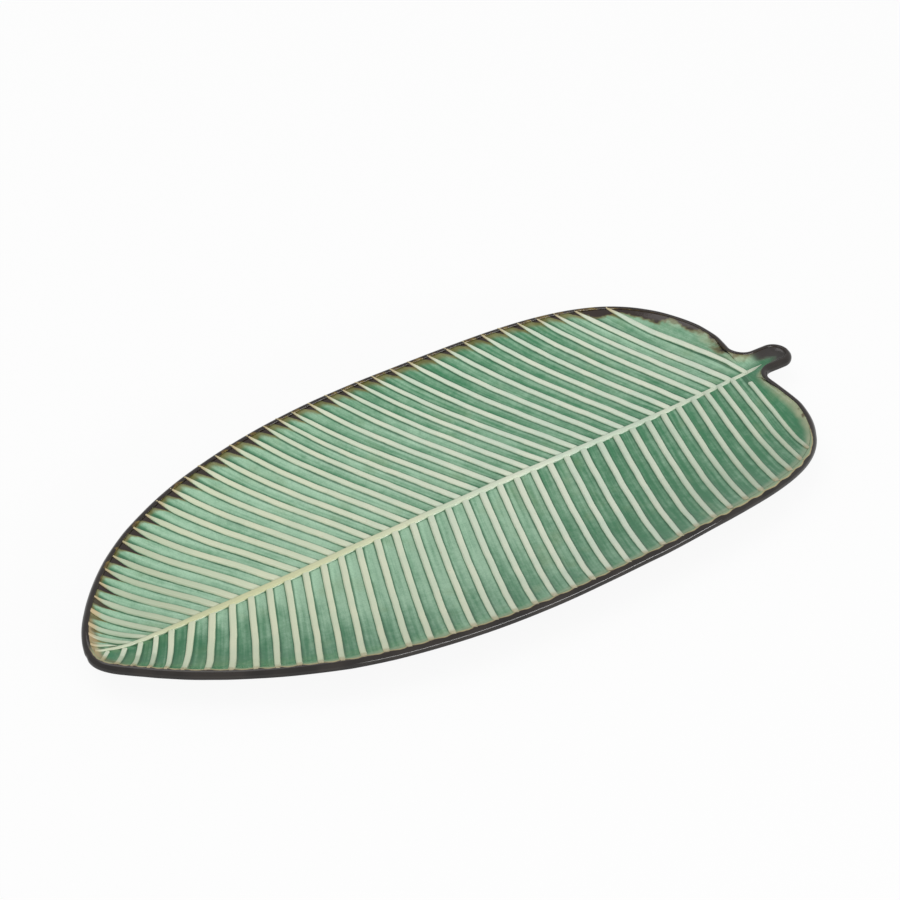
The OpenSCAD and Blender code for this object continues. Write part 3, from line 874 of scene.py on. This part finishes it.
DEEP_GREEN, PALE_GREEN = (58, 126, 86), (168, 206, 176)
# The pool green is both the glaze pooled along the veins and painted shade beside them.
OLIVE_GREEN, CRACK_GREEN, POOL_AND_SHADE_GREEN = (132, 158, 112), (58, 104, 76), (46, 98, 68)
LEDGE_GREY = (146, 166, 134)
DARK_AMBER, DULL_AMBER, SHOULDER_AMBER = (104, 92, 34), (124, 116, 66), (104, 92, 48)
ARCH_BROWN, SHOULDER_BROWN, BLUSH_BROWN = (46, 36, 32), (48, 37, 32), (92, 70, 46)
HALO_TAN = (190, 188, 152)
BARE_STEM, STEM_GREY = (70, 74, 64), (50, 44, 43)
TIP_BROWN, TIP_TAN = (92, 78, 44), (176, 150, 112)

DULL_CREAM, LIGHT_CREAM, YELLOW_CREAM = (206, 222, 201), (221, 229, 207), (208, 208, 160)
DUSK_CREAM, SPOT_TAN = (160, 178, 148), (196, 176, 140)
FLANK_GREEN, FOOT_GREEN = (130, 164, 130), (54, 98, 72)
FAR_END_TAN, POINT_TAN, NEAR_END_TAN = (196, 172, 124), (208, 184, 142), (178, 164, 128)
OVER_LIP_BROWN = (84, 64, 50)

LIP_BLACK, LIP_BROWN = (33, 30, 28), (48, 43, 39)
# The outer black is painted shade on the lip's outer, downward face.
INNER_BROWN, OUTER_SHADE_BLACK = (42, 34, 30), (22, 19, 18)
BREAK_GREEN, BREAK_TAN = (140, 162, 130), (172, 162, 122)
BREAK_AMBER, BREAK_GOLD = (76, 56, 30), (120, 102, 48)

CLAY_DARK, CLAY_LIGHT, CLAY_GRAIN = (176, 150, 118), (198, 174, 140), (120, 92, 66)

# Soft steps along the leaf, in metres from its middle: where each begins and is complete
TOWARD_TIP, CLOSE_TO_TIP, AT_TIP = (0.02, -0.06), (-0.10, -0.15), (-0.184, -0.192)
TOWARD_NOTCH, AT_NOTCH, ON_STEM = (0.150, 0.172), (0.158, 0.166), (0.176, 0.186)
STEM_THINS, STEM_ROLLS = (0.182, 0.192), (0.186, 0.193)
YELLOWS, YELLOWEST, DULLS = (0.05, -0.12), (-0.182, -0.15), (0.04, 0.12)
TIP_DULLS, TIP_ENDS = (-0.11, -0.16), (-0.16, -0.18)
# The same among the veins, counted from the tip
PAST_LAST_VEIN, ON_SHOULDER, BACK_VEINS = (37.0, 38.0), (37.4, 38.0), (36.2, 37.0)
# How far from the middle line a place belongs wholly to its half
HALF_SPLIT = 0.004


def paint(colour):
    """A seen colour in the numbers that a shader takes."""
    linear = [c / 12.92 if c <= 0.04045 else ((c + 0.055) / 1.055) ** 2.4
              for c in (shade / 255 for shade in colour)]
    return (*linear, 1.0)


class Glaze(Nodes):
    """A glaze in the making: its material, the leaf's values that it reads, and its colour so
    far. Waves are counted to the metre, and gaps and lengths are in metres."""

    def __init__(self, name):
        self.material = bpy.data.materials.new(name)
        self.material.use_nodes = True
        super().__init__(self.material.node_tree)
        self.tree.nodes.clear()
        out = self.tree.nodes.new("ShaderNodeOutputMaterial")
        self.shader = self.tree.nodes.new("ShaderNodeBsdfPrincipled")
        self.feed(out.inputs[0], self.shader.outputs[0])
        self.place = self.tree.nodes.new("ShaderNodeTexCoord").outputs["Object"]
        self.values = {}
        self.colour = None

    def know_halves(self):
        """Finds the way along the leaf, and 1 on the far half, 0 on the near one and back."""
        spot = self.add("ShaderNodeSeparateXYZ", {0: self.place}).outputs
        self.along = spot["X"]
        self.far = self.ramp(spot["Y"], -HALF_SPLIT, HALF_SPLIT)
        self.near = self.minus(1.0, self.far)

    def kept(self, name, output="Fac"):
        """A value that the piece keeps on its points."""
        if name not in self.values:
            self.values[name] = self.add("ShaderNodeAttribute", attribute_name=name)
        return self.values[name].outputs[output]

    def by_vein(self, *stops):
        """A ramp over the number of the vein, counted from the tip."""
        return self.ramp(self.kept("number"), *stops)

    def by_reach(self, *stops):
        """A ramp over the way from the midrib at 0 to the lip at 1."""
        return self.ramp(self.kept("reach"), *stops)

    def by_length(self, *stops):
        """A ramp over the way along the leaf, from its middle toward the stem."""
        return self.ramp(self.along, *stops)

    def by_panel(self, *stops):
        """A ramp across a panel, from -1 at the vein toward the tip to 1 at the next one."""
        return self.ramp(self.kept("panel"), *stops)

    def noise(self, waves, detail=2.0, roughness=0.5, place=None):
        return self.add("ShaderNodeTexNoise",
                        {"Vector": place or self.place, "Scale": waves, "Detail": detail,
                         "Roughness": roughness}).outputs["Fac"]

    def streaks(self, across, along, detail, roughness):
        """A noise drawn out along the veins, with these waves across them and along them."""
        drawn = self.add("ShaderNodeMapping", {"Vector": self.kept("flow", "Vector"),
                                               "Scale": (across, along, 1.0)}).outputs[0]
        return self.noise(1.0, detail, roughness, drawn)

    def swing(self, noise, size):
        """A noise as a value round zero, this large."""
        return self.times(self.minus(noise, 0.5), size)

    def uneven(self, gap, size, waves):
        """The gap with a noise added, so that a glaze edge wanders."""
        return self.plus(gap, self.swing(self.noise(waves, 3.0), size))

    def crackle(self, waves):
        """1 on the fine lines of a crackled glaze, 0 between them."""
        lines = self.add("ShaderNodeTexVoronoi", {"Vector": self.place, "Scale": waves},
                         feature="DISTANCE_TO_EDGE").outputs["Distance"]
        return self.ramp(lines, 0.09, 0.0)

    def blend(self, share, first, second):
        node = self.add("ShaderNodeMix", data_type="RGBA")
        for index, value in ((0, share), (6, first), (7, second)):
            self.feed(node.inputs[index], paint(value) if isinstance(value, tuple) else value)
        return node.outputs[2]

    def coat(self, colour, *shares):
        """Lays a colour over what is there, by the product of these shares."""
        self.colour = self.blend(self.times(*shares), self.colour, colour)

    def fired(self, roughness, relief, relief_size, strength):
        """The finished material, with its gloss and its fine relief."""
        bump = self.add("ShaderNodeBump",
                        {"Height": relief, "Distance": relief_size, "Strength": strength})
        for name, value in (("Base Color", self.colour), ("Roughness", roughness),
                            ("Normal", bump.outputs[0])):
            self.feed(self.shader.inputs[name], value)
        return self.material


def green_ground(g):
    """Pale on the middle of a panel, streaked along the vein, with painted light and painted
    shade laid in on the panels' flanks and over the halves.
    """
    far, near = g.far, g.near
    middle = g.ramp(g.maths("ABSOLUTE", g.kept("panel")), 1, 0.4)
    streaked = g.times(middle, g.ramp(g.streak, 0.28, 0.68), 0.38)
    behind, ahead = g.by_panel(-0.05, -0.7), g.by_panel(0.05, 0.8)
    # The far half paler toward the tip: partly the glaze, partly painted light; its dimmer stem
    # end is partly a painted shadow.
    far_pale_and_painted_light = g.times(g.by_vein(29, 10, 0.12, 0.64), far)
    far_root = g.times(g.by_reach(0.25, 0.05), g.by_vein(15, 11, 0, 0.25), far)
    near_pale = g.times(g.by_reach(0.95, 0.45, 0.3, 1), g.by_vein(6.5, 12),
                        g.by_vein(26, 18, 0, 0.5), near)
    near_root = g.times(g.by_reach(0.32, 0.06), g.by_vein(3, 5),
                        g.by_vein(15, 9, 0, 0.45), near)
    near_dark = g.times(g.plus(g.by_vein(7.5, 2, 0, -0.3),
                               g.by_vein(22, 28, 0, -0.16)), near)
    # Painted shade and painted light across each panel: on the far half the flank by the vein
    # toward the tip is darker and the other flank paler; on the near half the flank by the next
    # vein is paler.
    flanks = g.plus(g.times(behind, g.by_vein(17, 24, -0.42, -0.1), far),
                    g.times(ahead, g.by_vein(11, 17), 0.26, far),
                    g.times(ahead, g.by_vein(9, 15, 0.18, 0.34), near))
    near_lower = g.times(g.by_reach(0.4, 0.75), g.by_vein(4, 6),
                         g.by_vein(20, 13, -0.08, -0.26), near)
    far_stemward = g.times(g.by_vein(33, 36, 0, 0.24), far)
    # The whole near half a little paler: painted light.
    near_painted_light = g.times(near, 0.1)
    paleness = g.plus(streaked, far_pale_and_painted_light, far_root, near_pale, near_root, near_dark, flanks,
                      near_lower, far_stemward, near_painted_light, g.swing(g.cloud, 0.4),
                      g.swing(g.drift, 0.7), g.swing(g.own, 0.14), g.swing(g.mottle, 0.5))
    g.colour = g.blend(g.ramp(paleness, -0.1, 1.15), DEEP_GREEN, PALE_GREEN)
    g.coat(OLIVE_GREEN, g.ramp(g.noise(55), 0.55, 0.75), 0.3)
    g.coat(CRACK_GREEN, g.crackle(620), 0.16)


def pooled_and_shaded_green(g):
    """Dark where the glaze pools along the veins and the midrib, with painted shade leaning to
    one flank of each panel: wider by the vein toward the tip on the far half, narrower by the
    next vein on the near half.
    """
    width = g.maths("MULTIPLY_ADD", g.streaks(90, 60, 2, 0.5), 0.0012, 0.0001)
    # Painted shade: the dark pool leans toward one flank of each panel.
    shade_lean = g.plus(g.times(g.by_panel(0.3, -0.3, -0.35, 1.1), g.far),
                  g.times(g.by_panel(-0.3, 0.3, 0.1, -0.55), g.near))
    pool_and_shade = g.maths("DIVIDE", g.kept("gap"), g.times(width, g.plus(1, shade_lean)))
    g.coat(POOL_AND_SHADE_GREEN, g.ramp(pool_and_shade, 1.3, 0.15, 0, 0.78))


def near_ledge(g):
    """Near half: greyer and paler on the last of the slope."""
    g.coat(LEDGE_GREY, g.ramp(g.edge, 0.0045, 0.0008), g.near, 0.75)


def arch_depth(g):
    """How far the dark glaze comes in from the lip: least behind a vein, most ahead of one."""
    ahead = g.maths("MAXIMUM", g.maths("MULTIPLY_ADD", g.kept("panel"), 0.77, 0.23), 0)
    deep = g.times(g.by_length(*TOWARD_TIP, 0.0033, 0.0062), g.ramp(g.own, 0, 1, 0.6, 1.2))
    wedge = g.times(ahead, ahead, ahead, ahead, g.by_length(*CLOSE_TO_TIP, 0, 0.0045))
    return g.plus(g.times(ahead, ahead, deep), wedge)


def far_arches(g):
    """Far half: the green ends in arches, with dark brown between them and an amber fringe."""
    depth = arch_depth(g)
    past = g.minus(g.wild, depth)
    fringe = g.by_vein(9, 15, 0.0019, 0.0044)
    amber = g.times(g.ramp(g.maths("DIVIDE", past, fringe), 1, 0.2), g.far,
                    g.by_vein(*PAST_LAST_VEIN, 1, 0))
    g.coat(g.blend(g.ramp(g.drift, 0.4, 0.6), DARK_AMBER, DULL_AMBER), amber, 0.85)
    g.coat(ARCH_BROWN, g.ramp(past, 0.0004, -0.0006), g.ramp(depth, 0.0002, 0.0012),
           g.by_vein(2.4, 4.6), g.far)


def shoulder_halo(g):
    """Shoulders: a tan halo inside the lip; the far one is dark there, blotted near the notch."""
    shoulder, notch = g.by_vein(*ON_SHOULDER), g.by_length(*AT_NOTCH)
    blots = g.noise(70, 3, 0.6)
    halo = g.times(shoulder, g.ramp(g.uneven(g.kept("lip_gap"), 0.007, 75), 0.0034, 0.0002),
                   g.minus(1, g.stem), g.ramp(g.cloud, 0.3, 0.6, 0.35, 1))
    g.coat(HALO_TAN, halo, 0.7)
    depth = g.maths("MULTIPLY_ADD", g.ramp(blots, 0.34, 0.66), 0.0034,
                    g.ramp(notch, 0, 1, 0.0008, -0.001))
    past = g.minus(g.uneven(g.kept("lip_gap"), 0.0012, 170), depth)
    back = g.times(g.by_vein(*BACK_VEINS), g.far)
    g.coat(SHOULDER_AMBER, g.ramp(past, 0.0024, 0.0006), back, 0.85)
    g.coat(SHOULDER_BROWN, g.ramp(past, 0.0009, -0.0002), back)
    blush = g.times(g.ramp(blots, 0.5, 0.56), shoulder, g.near, g.ramp(g.wild, 0.0014, 0.0006))
    g.coat(BLUSH_BROWN, blush, 0.85)


def stem_edges(g):
    """The stem: dark grey rolls over its edge, and the green thins out toward its end."""
    bare = g.plus(g.times(g.ramp(g.wild, 0.0052, 0.0014), g.stem),
                  g.by_length(*STEM_THINS, 0, 0.9))
    g.coat(BARE_STEM, g.ramp(bare, 0.1, 0.9), 0.88)
    rolled = g.minus(g.wild, g.plus(g.times(g.far, 0.0018),
                                    g.by_length(*STEM_ROLLS, 0, 0.004)))
    g.coat(STEM_GREY, g.ramp(rolled, 0.0024, 0.0006), g.stem, 0.92)


def tip_patches(g):
    """The very tip: tan and brown patches along the lip."""
    point = g.times(g.by_length(*AT_TIP), g.ramp(g.edge, 0.0052, 0.0016))
    g.coat(g.blend(g.ramp(g.drift, 0.42, 0.58), TIP_BROWN, TIP_TAN), point, 0.75)


def green_glaze():
    g = Glaze("green_reactive_glaze")
    g.know_halves()
    g.stem = g.by_length(*ON_STEM)
    g.streak = g.streaks(300, 26, 3, 0.6)
    g.cloud, g.drift, g.mottle = g.noise(26), g.noise(95, 3, 0.6), g.noise(420, 4, 0.6)
    seed = g.plus(g.kept("number"), g.times(g.far, 0.37))
    g.own = g.add("ShaderNodeTexWhiteNoise", {"W": seed}, noise_dimensions="1D").outputs["Value"]
    g.edge = g.uneven(g.kept("lip_gap"), 0.0016, 160)
    g.wild = g.uneven(g.kept("lip_gap"), 0.0024, 260)
    for layer in (green_ground, pooled_and_shaded_green, near_ledge, far_arches, shoulder_halo,
                  stem_edges, tip_patches):
        layer(g)
    relief = g.plus(g.times(g.mottle, 0.35), g.times(g.streak, 0.3))
    return g.fired(g.maths("MULTIPLY_ADD", g.mottle, 0.14, 0.10), relief, 0.00035, 0.5)


def cream_glaze(name, yellow_tip):
    """Cream that breaks over a ridge, with green at its foot and tan where it meets the lip."""
    g = Glaze(name)
    g.know_halves()
    mottle = g.noise(520, 4, 0.6)
    g.colour = g.blend(g.ramp(g.noise(70), 0.3, 0.7), DULL_CREAM, LIGHT_CREAM)
    warm = g.times(g.by_length(*YELLOWS), g.by_length(*YELLOWEST, 0.35, 1))
    g.coat(YELLOW_CREAM, warm, yellow_tip)
    stemward = g.times(g.by_length(*DULLS), g.by_reach(0.3, 0.8, 0.4, 1), g.near)
    tipward = g.times(g.by_length(*TIP_DULLS), g.far)
    first_veins = g.times(g.by_vein(3.5, 1.5), g.by_reach(0.35, 0.5), g.near)
    g.coat(DUSK_CREAM, g.plus(stemward, tipward, first_veins), 0.55)
    g.coat(SPOT_TAN, g.ramp(mottle, 0.62, 0.8, 0, 0.5))

    flank = g.uneven(g.kept("crest"), 0.35, 300)
    g.coat(FLANK_GREEN, g.ramp(flank, 0.6, 0.3))
    g.coat(FOOT_GREEN, g.ramp(flank, 0.35, 0.08, 0, 0.9))

    ends = g.uneven(g.kept("lip_gap"), 0.003, 150)
    g.coat(FAR_END_TAN, g.ramp(ends, 0.0042, 0), g.far, 0.75)
    g.coat(POINT_TAN, g.ramp(ends, 0.005, 0.0006), g.by_length(*TIP_ENDS), 0.65)
    g.coat(NEAR_END_TAN, g.ramp(ends, 0.0042, 0.0004), g.near, 0.7)
    g.coat(OVER_LIP_BROWN, g.ramp(ends, -0.0006, -0.0016), g.near)
    return g.fired(g.plus(g.times(mottle, 0.15), 0.14), mottle, 0.0002, 0.5)


def rim_break(g):
    """The leaf's glaze runs on over the inner side of the lip: it ends there in a scalloped tan
    line on the near half, and in amber patches between the veins on the far one."""
    g.know_halves()
    phase = g.kept("phase")
    edge = g.uneven(g.kept("girth"), 0.0009, 260)
    wave = g.maths("COSINE", g.times(g.minus(phase, 0.06), 2 * math.pi))
    reach = g.plus(g.ramp(phase, 3, 15, 0.0011, 0.0013),
                   g.ramp(phase, 27, 33, 0, 0.0009),
                   g.by_length(*TOWARD_NOTCH, 0, -0.0028))
    past = g.minus(edge, g.maths("MULTIPLY_ADD", wave, -0.0003, reach))
    scallop = g.blend(g.ramp(past, -0.0008, -0.0002), BREAK_GREEN, BREAK_TAN)
    g.coat(scallop, g.ramp(past, 0.00025, -0.0001), g.near, 0.92)

    behind = g.ramp(g.maths("FRACT", phase), 0.8, 0.35)
    patch = g.ramp(g.noise(75, 3, 0.6), 0.4, 0.56)
    width = g.times(patch, behind, g.ramp(phase, 4, 8, 0, 0.0027),
                    g.ramp(phase, 36.6, 37.3, 1, 0.15))
    amber = g.times(g.ramp(g.minus(edge, width), 0.0002, -0.0006), g.far, 0.9)
    gold = g.blend(g.ramp(g.noise(420), 0.35, 0.65), BREAK_AMBER, BREAK_GOLD)
    g.coat(gold, amber)


def brown_glaze(name, rim):
    """Dark brown, almost black; on the rim it is darker on the outer face, a painted shade, and
    broken through inside.
    """
    g = Glaze(name)
    cloud, mottle = g.noise(90, 3), g.noise(600, 3)
    g.colour = g.blend(g.ramp(cloud, 0.3, 0.7), LIP_BLACK, LIP_BROWN)
    if rim:
        g.coat(INNER_BROWN, g.ramp(g.kept("girth"), 0.003, 0.0016), 0.7)
        # Painted shade: the lip's outer, downward face darker.
        g.coat(OUTER_SHADE_BLACK, g.ramp(g.kept("girth"), 0.0046, 0.006), 0.8)
        rim_break(g)
        g.shader.inputs["IOR"].default_value = 1.5
    relief = g.plus(g.times(cloud, 0.85), g.times(mottle, 0.15))
    return g.fired(g.maths("MULTIPLY_ADD", mottle, 0.08, 0.07), relief, 0.0002, 0.3)


def bare_clay():
    g = Glaze("bare_clay")
    grain = g.noise(900, 4, 0.65)
    g.colour = g.blend(g.ramp(g.noise(60), 0.3, 0.7), CLAY_DARK, CLAY_LIGHT)
    g.coat(CLAY_GRAIN, g.ramp(grain, 0.6, 0.75, 0, 0.6))
    return g.fired(g.plus(g.times(grain, 0.2), 0.72), grain, 0.0004, 0.7)


# The stage

WHITE = (1, 1, 1, 1)


def stage_floor():
    """A white table and white surroundings that keep the plate's shadow."""
    far_off = 6.0
    corners = [(x * far_off, y * far_off, 0) for x, y in ((-1, -1), (1, -1), (1, 1), (-1, 1))]
    floor = new_piece("table_top", corners, [(0, 1, 2, 3)])
    material = bpy.data.materials.new("white_table")
    material.use_nodes = True
    nodes = Nodes(material.node_tree)
    nodes.tree.nodes.clear()
    out = nodes.add("ShaderNodeOutputMaterial")
    cloth = nodes.add("ShaderNodeBsdfDiffuse", {"Color": (0.86, 0.86, 0.86, 1)})
    glow = nodes.add("ShaderNodeEmission", {"Color": WHITE, "Strength": 1.0})
    seen = nodes.add("ShaderNodeLightPath").outputs["Is Camera Ray"]
    nodes.for_camera(out, cloth, glow, nodes.times(seen, 0.92))
    floor.data.materials.append(material)


def studio_air():
    world = bpy.data.worlds.new("studio_air")
    bpy.context.scene.world = world
    world.use_nodes = True
    nodes = Nodes(world.node_tree)
    nodes.tree.nodes.clear()
    out = nodes.add("ShaderNodeOutputWorld")
    plain, white = (nodes.add("ShaderNodeBackground", {"Color": WHITE, "Strength": strength})
                    for strength in (0.58, 1.0))
    seen = nodes.add("ShaderNodeLightPath").outputs["Is Camera Ray"]
    nodes.for_camera(out, plain, white, seen)


def soft_light(name, place, aim, size, power):
    lamp = bpy.data.lights.new(name, "AREA")
    lamp.shape = "RECTANGLE"
    lamp.size, lamp.size_y = size
    lamp.energy = power
    holder = link_piece(name, lamp)
    holder.location = place
    holder.rotation_euler = (Vector(aim) - Vector(place)).to_track_quat("-Z", "Y").to_euler()


def photo_camera():
    """The camera of the photograph: 38 degrees above the table, from the near left."""
    aim = Vector((0.0193, 0.0409, 0.0012))
    turned, raised, distance = math.radians(34.83), math.radians(38.12), 1.131
    back = Vector((-math.sin(turned) * math.cos(raised), -math.cos(turned) * math.cos(raised),
                   math.sin(raised)))
    lens = bpy.data.cameras.new("photo_camera")
    lens.sensor_width, lens.lens = 36.0, 92.7
    camera = link_piece("photo_camera", lens)
    camera.location = aim + distance * back
    camera.rotation_euler = (-back).to_track_quat("-Z", "Y").to_euler()
    bpy.context.scene.camera = camera


def seat(piece, slot, *nodes):
    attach(piece, "root")
    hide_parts(*nodes)


# The lip's section: how far outward as shares of its width, how far down as shares of its depth
LIP_ROLL = [(0.28, 0.055), (0.6, 0.13), (0.87, 0.32), (0.97, 0.48), (0.99, 0.65), (0.92, 0.84),
            (0.6, 0.97)]
# The foot's: distances in from its edges, and depths as shares of its height
FOOT_ROUNDING = [(0.0002, 0.75), (0.0012, 0.96)]
FOOT_SINK = 0.0003  # how far the foot reaches up into the base


def lip_section():
    depth = LIP_HEIGHT + LIP_RISE
    roll = [(-out * LIP_WIDTH, down * depth - LIP_RISE) for out, down in LIP_ROLL]
    return section_piece("lip_section", [(0, 0), *roll, (0, LIP_HEIGHT)], 5)


def foot_section():
    outer = [(inset, FOOT_HEIGHT * down) for inset, down in FOOT_ROUNDING]
    inner = [(FOOT_WIDTH - inset, down) for inset, down in outer[::-1]]
    corners = [(0, -FOOT_SINK), *outer, *inner, (FOOT_WIDTH, -FOOT_SINK)]
    return section_piece("foot_section", corners, 3)


def build_plate():
    seat(build_glazed_leaf(), "green_glaze", "leaf_body", "stem")
    ridges, bands = ridge_tree(), band_tree()
    cream = cream_glaze("cream_vein_glaze", 0.35)
    for side, name in ((FAR, "veins_left"), (NEAR, "veins_right")):
        veins = grow("side_" + name, vein_paths(side), ridges, {
            "Crest Share": 0.7, "Skirt Depth": 0.0008, "Wobble": 0.0007, "Wobble Scale": 70.0,
            "Section Points": 16, "Seed": 3.0 + side, "Glaze": cream})
        seat(veins, "vein_glaze", name)
    midrib = grow("midrib_ridge", midrib_path(), ridges, {
        "Crest Share": 0.55, "Skirt Depth": 0.0008, "Wobble": 0.0006, "Wobble Scale": 60.0,
        "Section Points": 20, "Seed": 9.0, "Glaze": cream_glaze("cream_midrib_glaze", 0.85)})
    seat(midrib, "vein_glaze", "midrib")
    section = lip_section()
    lip = grow("rolled_lip", lip_path(), bands, {
        "Section": section, "Wobble": 0.0002, "Wobble Scale": 40.0, "Seed": 5.0,
        "Glaze": brown_glaze("brown_lip_glaze", rim=True)}, [section])
    seat(lip, "rim_glaze", "rim_lip")
    section = foot_section()
    foot = grow("clay_foot", foot_path(), bands, {
        "Section": section, "Wobble": 0.0, "Wobble Scale": 40.0, "Seed": 6.0,
        "Glaze": bare_clay()}, [section])
    seat(foot, "bare_clay", "foot_ring")


build_plate()
stage_floor()
studio_air()
soft_light("overhead_softbox", (-0.3, 0.5, 1.5), (0, 0, 0), (1.2, 1.2), 6.4)
soft_light("front_softbox", (0.3, -1.3, 0.42), (0, 0, 0), (1.25, 0.2), 9.5)
photo_camera()
bpy.context.scene.view_settings.view_transform = "Standard"
